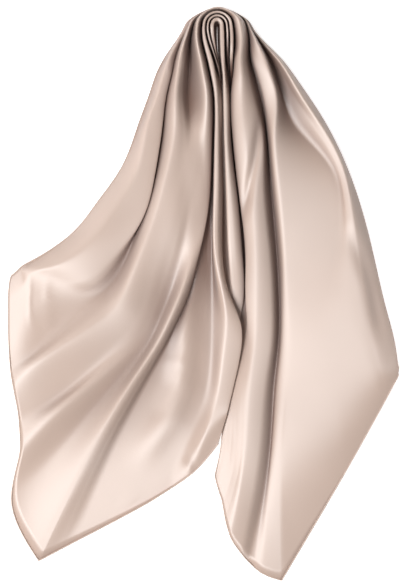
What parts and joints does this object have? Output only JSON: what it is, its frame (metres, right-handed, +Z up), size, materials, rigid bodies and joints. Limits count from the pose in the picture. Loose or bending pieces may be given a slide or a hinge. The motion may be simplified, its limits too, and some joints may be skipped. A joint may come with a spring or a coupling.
{
  "type": "long scarf",
  "caption": "Long satin scarf laid flat, gathered in nested pleats at its middle, bent over in a narrow arch with both ends fanned out.",
  "frame": {"origin": "on the surface the scarf lies on, under the middle of its box", "axes": "+Y points over the arch, away from the two ends; +Z points up from the surface; +X points to the end whose outer edge is turned under"},
  "size_m": [0.6108, 0.8948, 0.0409],
  "materials": {
    "satin": "smooth champagne satin with a soft sheen"
  },
  "bodies": {
    "root": {"left_fall": "satin", "crown": "satin", "right_fall": "satin"}
  },
  "joints": []
}
